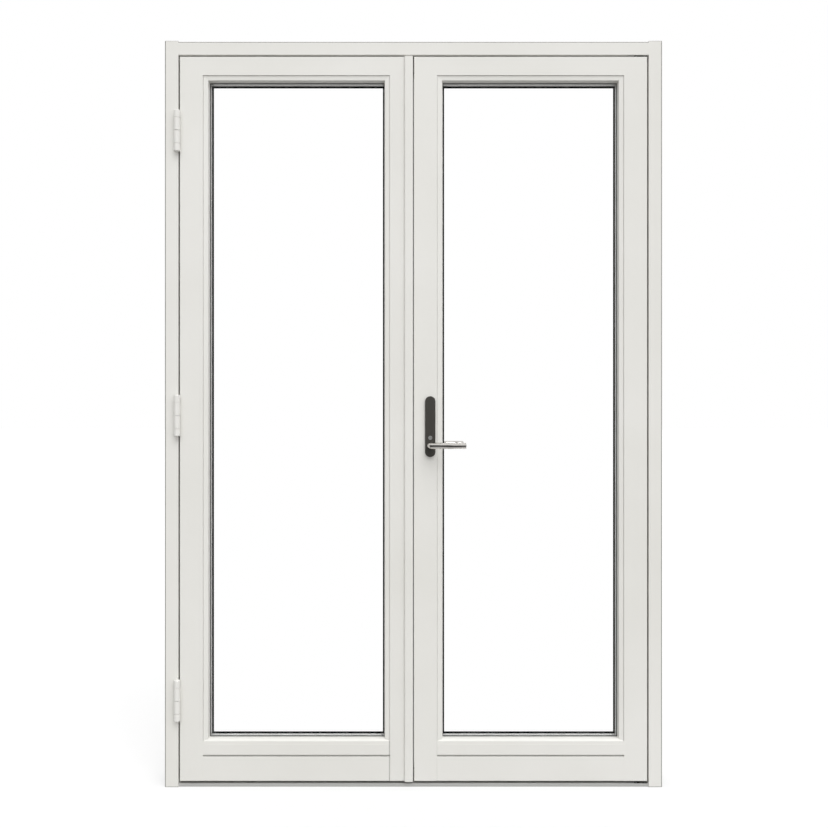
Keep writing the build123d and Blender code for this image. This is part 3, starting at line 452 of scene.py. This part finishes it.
def screwHead():
    count = screw["points"]
    arms = screw["cross"]
    rings = []
    for radii, height in (
        ([screw["rim"]] * len(arms), -screw["rimSink"]),
        ([screw["crown"]] * len(arms), screw["proud"]),
        (arms, screw["proud"]), ([r * screw["taper"] for r in arms], -screw["recess"]),
    ):
        ring = []
        for k in range(count):
            turn = 2 * math.pi * k / count
            r = radii[k % len(arms)]
            ring.append((r * math.cos(turn), r * math.sin(turn), height))
        rings.append(ring)
    return bpy.data.objects.new("screwHead", ringMesh("screwHead", rings))


def screwTree():
    group = bpy.data.node_groups.new("screwsOnPoints", "GeometryNodeTree")
    sockets = {}
    for name, kind in (
        ("Geometry", "NodeSocketGeometry"), ("Head", "NodeSocketObject"),
        ("Head Radius", "NodeSocketFloat"), ("Seed", "NodeSocketInt"), ("Finish", "NodeSocketMaterial"),
    ):
        socket = group.interface.new_socket(name, in_out="INPUT", socket_type=kind)
        sockets[name] = socket.identifier
    group.interface.new_socket("Geometry", in_out="OUTPUT", socket_type="NodeSocketGeometry")
    given = addNode(group, "NodeGroupInput")
    facing = addNode(group, "GeometryNodeInputNamedAttribute",
                     {"data_type": "FLOAT_VECTOR", "Name": "facing"})
    aligned = addNode(group, "FunctionNodeAlignRotationToVector", {"axis": "Z"},
                      {"Vector": (facing, "Attribute")})
    roll = addNode(group, "FunctionNodeRandomValue", {"data_type": "FLOAT", 3: 2 * math.pi},
                   {"Seed": (given, "Seed")})
    spin = addNode(group, "FunctionNodeAxisAngleToRotation", None, {"Angle": (roll, 1)})
    turned = addNode(group, "FunctionNodeRotateRotation", {"rotation_space": "LOCAL"},
                     {"Rotation": (aligned, "Rotation"), "Rotate By": (spin, "Rotation")})
    head = addNode(group, "GeometryNodeObjectInfo", None, {"Object": (given, "Head")})
    placed = addNode(group, "GeometryNodeInstanceOnPoints", None,
                     {"Points": (given, "Geometry"), "Instance": (head, "Geometry"),
                      "Rotation": (turned, "Rotation"), "Scale": (given, "Head Radius")})
    solid = addNode(group, "GeometryNodeRealizeInstances", None, {"Geometry": (placed, "Instances")})
    finished = addNode(group, "GeometryNodeSetMaterial", None,
                       {"Geometry": (solid, "Geometry"), "Material": (given, "Finish")})
    addNode(group, "NodeGroupOutput", None, {"Geometry": (finished, "Geometry")})
    return group, sockets


def screwPlaces():
    # Each place is a point on a plate's face and the way the head looks, from the plates' own boxes
    right, left, fixed = [], [], []
    low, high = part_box("lock_faceplate")
    edgeY = (low.y + high.y) / 2
    step = (high.z - low.z - 2 * screw["lockEnd"]) / (screw["lockCount"] - 1)
    for k in range(screw["lockCount"]):
        right.append(((low.x, edgeY, low.z + screw["lockEnd"] + step * k), (-1, 0, 0)))
    low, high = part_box("pivot_straps")
    for x in (low.x + screw["strapNear"], low.x + screw["strapFar"]):
        right.append(((x, (low.y + high.y) / 2, low.z), (0, 0, -1)))
        right.append(((x, (low.y + high.y) / 2, high.z), (0, 0, 1)))
    low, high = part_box("back_handle_plate")
    for z in (low.z + screw["rearEnd"], high.z - screw["rearEnd"]):
        right.append((((low.x + high.x) / 2, high.y, z), (0, 1, 0)))

    low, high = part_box("strike_plate")
    for z in (low.z + screw["strikeEnd"], high.z - screw["strikeEnd"]):
        left.append(((high.x, edgeY, z), (1, 0, 0)))
    low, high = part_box("flush_bolt_cases")
    for z in (low.z + screw["caseNear"], low.z + screw["caseFar"],
              high.z - screw["caseFar"], high.z - screw["caseNear"]):
        left.append(((high.x, edgeY, z), (1, 0, 0)))

    for place in hingePlaces:
        for half, face, way, spots in (
            ("sleeve", screw["leafPlate"], -1, left), ("base", screw["jambPlate"], 1, fixed),
        ):
            low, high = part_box(f"{place}_hinge_{half}")
            for depth, share in screw["hingeSpots"]:
                z = low.z + (high.z - low.z) * share
                spots.append(((face, faceY + depth, z), (way, 0, 0)))

    for name, face, way in (("head_keep", 0, -1), ("threshold_keep", 1, 1)):
        low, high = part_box(name)
        for x in (low.x + screw["keepEnd"], high.x - screw["keepEnd"]):
            fixed.append(((x, (low.y + high.y) / 2, (low, high)[face].z), (0, 0, way)))
    low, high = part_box("leaf_pivots")
    for x in (low.x + screw["pivotEnd"], high.x - screw["pivotEnd"]):
        fixed.append(((x, (low.y + high.y) / 2, high.z - screw["pivotPlate"]), (0, 0, -1)))
        fixed.append(((x, (low.y + high.y) / 2, low.z + screw["pivotPlate"]), (0, 0, 1)))
    low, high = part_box("threshold_plate")
    for k in range(screw["rowCount"]):
        x = screw["rowStart"] + screw["rowStep"] * k
        fixed.append(((x, high.y - screw["rowEdge"], high.z - screw["rowDrop"]),
                      (0, screw["rowSlope"], 1)))
    return {"right_leaf": right, "left_leaf": left, "frame": fixed}


headObject = screwHead()
group, sockets = screwTree()
for body, places in screwPlaces().items():
    cloud = bpy.data.meshes.new(f"{body}_screws")
    cloud.from_pydata([point for point, way in places], [], [])
    ways = cloud.attributes.new("facing", "FLOAT_VECTOR", "POINT")
    ways.data.foreach_set("vector", [value for point, way in places for value in way])
    screws = bpy.data.objects.new(f"{body}_screws", cloud)
    scene.collection.objects.link(screws)
    modifier = screws.modifiers.new("screws", "NODES")
    modifier.node_group = group
    modifier[sockets["Head"]] = headObject
    modifier[sockets["Head Radius"]] = screw["radius"]
    modifier[sockets["Seed"]] = screw["seed"]
    modifier[sockets["Finish"]] = zincSteel
    evaluated = screws.evaluated_get(bpy.context.evaluated_depsgraph_get())
    made = bpy.data.meshes.new_from_object(evaluated)
    screws.modifiers.remove(modifier)
    screws.data = made
    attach(screws, body)
    print(body, "screws:", len(places))
bpy.data.objects.remove(headObject)

# A plain lock button on the handle plate, with a rolled rim and a shallow dish
button = {
    "radius": 5.6 * mm, "proud": 1.2 * mm, "sink": 0.3 * mm, "above": 21 * mm, "sides": 40,
    "bevel": 0.5 * mm, "rollShare": 0.3, "dishShare": 0.72, "dishFloorShare": 0.66, "dish": 0.25 * mm,
}
radius, proud, bevel = button["radius"], button["proud"], button["bevel"]
profile = [
    (radius, -button["sink"]),
    (radius, proud - bevel),
    (radius - bevel * button["rollShare"], proud - bevel * button["rollShare"]),
    (radius - bevel, proud),
    (radius * button["dishShare"], proud),
    (radius * button["dishFloorShare"], proud - button["dish"]),
]
low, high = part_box("front_handle_plate")
spindleLow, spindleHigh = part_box("handle_spindle")
buttonX = (low.x + high.x) / 2
buttonZ = (spindleLow.z + spindleHigh.z) / 2 + button["above"]
turns = [2 * math.pi * k / button["sides"] for k in range(button["sides"])]
buttonMesh = ringMesh("lock_button", [
    [(buttonX + r * math.cos(turn), low.y - out, buttonZ + r * math.sin(turn)) for turn in turns]
    for r, out in profile
])
buttonMesh.materials.append(zincSteel)
lockButton = bpy.data.objects.new("lock_button", buttonMesh)
scene.collection.objects.link(lockButton)
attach(lockButton, "right_leaf")
print("lock button on the plate")


# Floor, light and camera

def rayMasks(tree):
    # Rays that have met no matt surface yet: through or off the glass, and off metal.
    # The glass is sharp, so its mirror rays are singular.
    path = addNode(tree, "ShaderNodeLightPath")
    straight = addNode(tree, "ShaderNodeMath", {"operation": "LESS_THAN", 1: 1.0},
                       {0: (path, "Diffuse Depth")})
    glassRay = addNode(tree, "ShaderNodeMath", {"operation": "MAXIMUM"},
                       {0: (path, "Is Transmission Ray"), 1: (path, "Is Singular Ray")})
    through = addNode(tree, "ShaderNodeMath", {"operation": "MULTIPLY"},
                      {0: (glassRay, "Value"), 1: (straight, "Value")})
    metalRay = addNode(tree, "ShaderNodeMath", {"operation": "MULTIPLY"},
                       {0: (path, "Is Glossy Ray"), 1: (straight, "Value")})
    return path, through, metalRay


# White to the eye with a soft shadow, and plain white through the glass.
# Matt surfaces get the light that a mid grey throws back.
# Polished metal sees it pale near the doors and dark further off.
floor = {
    "size": 120.0, "bounce": "#a3a2a0", "shown": "#ffffff", "glow": 0.56, "shade": 0.40,
    "metalNear": 0.62, "metalFar": 0.07, "near": 0.9, "far": 1.7,
}
build = bmesh.new()
bmesh.ops.create_grid(build, x_segments=1, y_segments=1, size=floor["size"] / 2)
floorMesh = bpy.data.meshes.new("studio_floor")
build.to_mesh(floorMesh)
build.free()
floorObject = bpy.data.objects.new("studio_floor", floorMesh)
scene.collection.objects.link(floorObject)
floorPaint, tree, coords = newMaterial("pale_floor")
path, through, metalRay = rayMasks(tree)
away = addNode(tree, "ShaderNodeVectorMath", {"operation": "LENGTH"}, {0: (coords, "Object")})
metalGlow = addNode(tree, "ShaderNodeMapRange",
                    {"From Min": floor["near"], "From Max": floor["far"],
                     "To Min": floor["metalNear"], "To Max": floor["metalFar"]},
                    {"Value": (away, "Value")})
metal = addNode(tree, "ShaderNodeEmission", {"Color": hexColour(floor["shown"])},
                {"Strength": (metalGlow, "Result")})
bounce = addNode(tree, "ShaderNodeBsdfDiffuse", {"Color": hexColour(floor["bounce"])})
unseen = addNode(tree, "ShaderNodeMixShader", None,
                 {0: (metalRay, "Value"), 1: (bounce, "BSDF"), 2: (metal, "Emission")})
plain = addNode(tree, "ShaderNodeEmission", {"Color": hexColour(floor["shown"]), "Strength": 1.0})
behind = addNode(tree, "ShaderNodeMixShader", None,
                 {0: (through, "Value"), 1: (unseen, "Shader"), 2: (plain, "Emission")})
shade = addNode(tree, "ShaderNodeBsdfDiffuse", {"Color": (*[floor["shade"]] * 3, 1.0)})
glow = addNode(tree, "ShaderNodeEmission",
               {"Color": hexColour(floor["shown"]), "Strength": floor["glow"]})
shown = addNode(tree, "ShaderNodeAddShader", None, {0: (shade, "BSDF"), 1: (glow, "Emission")})
mixed = addNode(tree, "ShaderNodeMixShader", None,
                {0: (path, "Is Camera Ray"), 1: (behind, "Shader"), 2: (shown, "Shader")})
addNode(tree, "ShaderNodeOutputMaterial", None, {"Surface": (mixed, "Shader")})
floorMesh.materials.append(floorPaint)

# White all round for the camera, and through the glass and in its mirror.
# Matt surfaces are lit by a broad glow from the front, above and the right,
# and a weaker one from behind.
# Polished metal sees a studio that is dark about the horizon and pale above.
studio = {
    "toGlow": (0.38, -0.76, 0.53), "low": 0.10, "high": 1.31, "from": -0.25,
    "toRear": (-0.20, 0.86, 0.47), "rearHigh": 1.20, "rearFrom": 0.10,
    "band": ((0.28, "#1c1b1a"), (0.40, "#ffffff")), "white": "#ffffff",
}
world = bpy.data.worlds.new("studio")
scene.world = world
world.use_nodes = True
tree = world.node_tree
tree.nodes.clear()
path, through, metalRay = rayMasks(tree)
coords = addNode(tree, "ShaderNodeTexCoord")
levels = []
for aim, start, top in (("toGlow", "from", "high"), ("toRear", "rearFrom", "rearHigh")):
    toward = addNode(tree, "ShaderNodeVectorMath", {"operation": "DOT_PRODUCT", 1: studio[aim]},
                     {0: (coords, "Generated")})
    levels.append(addNode(tree, "ShaderNodeMapRange",
                          {"From Min": studio[start], "From Max": 1.0,
                           "To Min": studio["low"], "To Max": studio[top]},
                          {"Value": (toward, "Value")}))
around = addNode(tree, "ShaderNodeMath", {"operation": "MAXIMUM"},
                 {k: (level, "Result") for k, level in enumerate(levels)})
split = addNode(tree, "ShaderNodeSeparateXYZ", None, {0: (coords, "Generated")})
rise = addNode(tree, "ShaderNodeValToRGB", {"stops": studio["band"]}, {"Fac": (split, "Z")})
matt = addNode(tree, "ShaderNodeBackground", {"Color": hexColour(studio["white"])},
               {"Strength": (around, "Value")})
glossy = addNode(tree, "ShaderNodeBackground", {"Strength": 1.0}, {"Color": (rise, "Color")})
white = addNode(tree, "ShaderNodeBackground",
                {"Color": hexColour(studio["white"]), "Strength": 1.0})
lit = addNode(tree, "ShaderNodeMixShader", None,
              {0: (metalRay, "Value"), 1: (matt, "Background"), 2: (glossy, "Background")})
clear = addNode(tree, "ShaderNodeMath", {"operation": "MAXIMUM"},
                {0: (path, "Is Camera Ray"), 1: (through, "Value")})
mixed = addNode(tree, "ShaderNodeMixShader", None,
                {0: (clear, "Value"), 1: (lit, "Shader"), 2: (white, "Background")})
addNode(tree, "ShaderNodeOutputWorld", None, {"Surface": (mixed, "Shader")})

# A soft light high in front, for the shadows under things
softbox = {"rise": 52, "aside": 16, "spread": 40, "strength": 1.25, "away": 6.0}
light = bpy.data.lights.new("softbox", "SUN")
light.energy = softbox["strength"]
light.angle = math.radians(softbox["spread"])
lightObject = bpy.data.objects.new("softbox", light)
up, aside = math.radians(softbox["rise"]), math.radians(softbox["aside"])
toLight = Vector((math.sin(aside) * math.cos(up), -math.cos(aside) * math.cos(up), math.sin(up)))
lightObject.location = toLight * softbox["away"]
lightObject.rotation_euler = (-toLight).to_track_quat("-Z", "Y").to_euler()
lightObject.visible_glossy = False  # metal mirrors the studio, not the lamp
scene.collection.objects.link(lightObject)

# Square on to the face, level with the doors' middle
view = {
    "away": 2.600, "height": 1.050, "aside": 0.0014, "lens": 40.17, "sensor": 36.0,
    "tilt": 90, "reach": 200.0,
}
camera = bpy.data.cameras.new("camera")
camera.lens = view["lens"]
camera.sensor_width = view["sensor"]
camera.clip_end = view["reach"]
cameraObject = bpy.data.objects.new("camera", camera)
cameraObject.location = (view["aside"], faceY - view["away"], view["height"])
cameraObject.rotation_euler = (math.radians(view["tilt"]), 0.0, 0.0)
scene.collection.objects.link(cameraObject)
scene.camera = cameraObject
scene.view_settings.view_transform = "Standard"
print("floor, light and camera set")
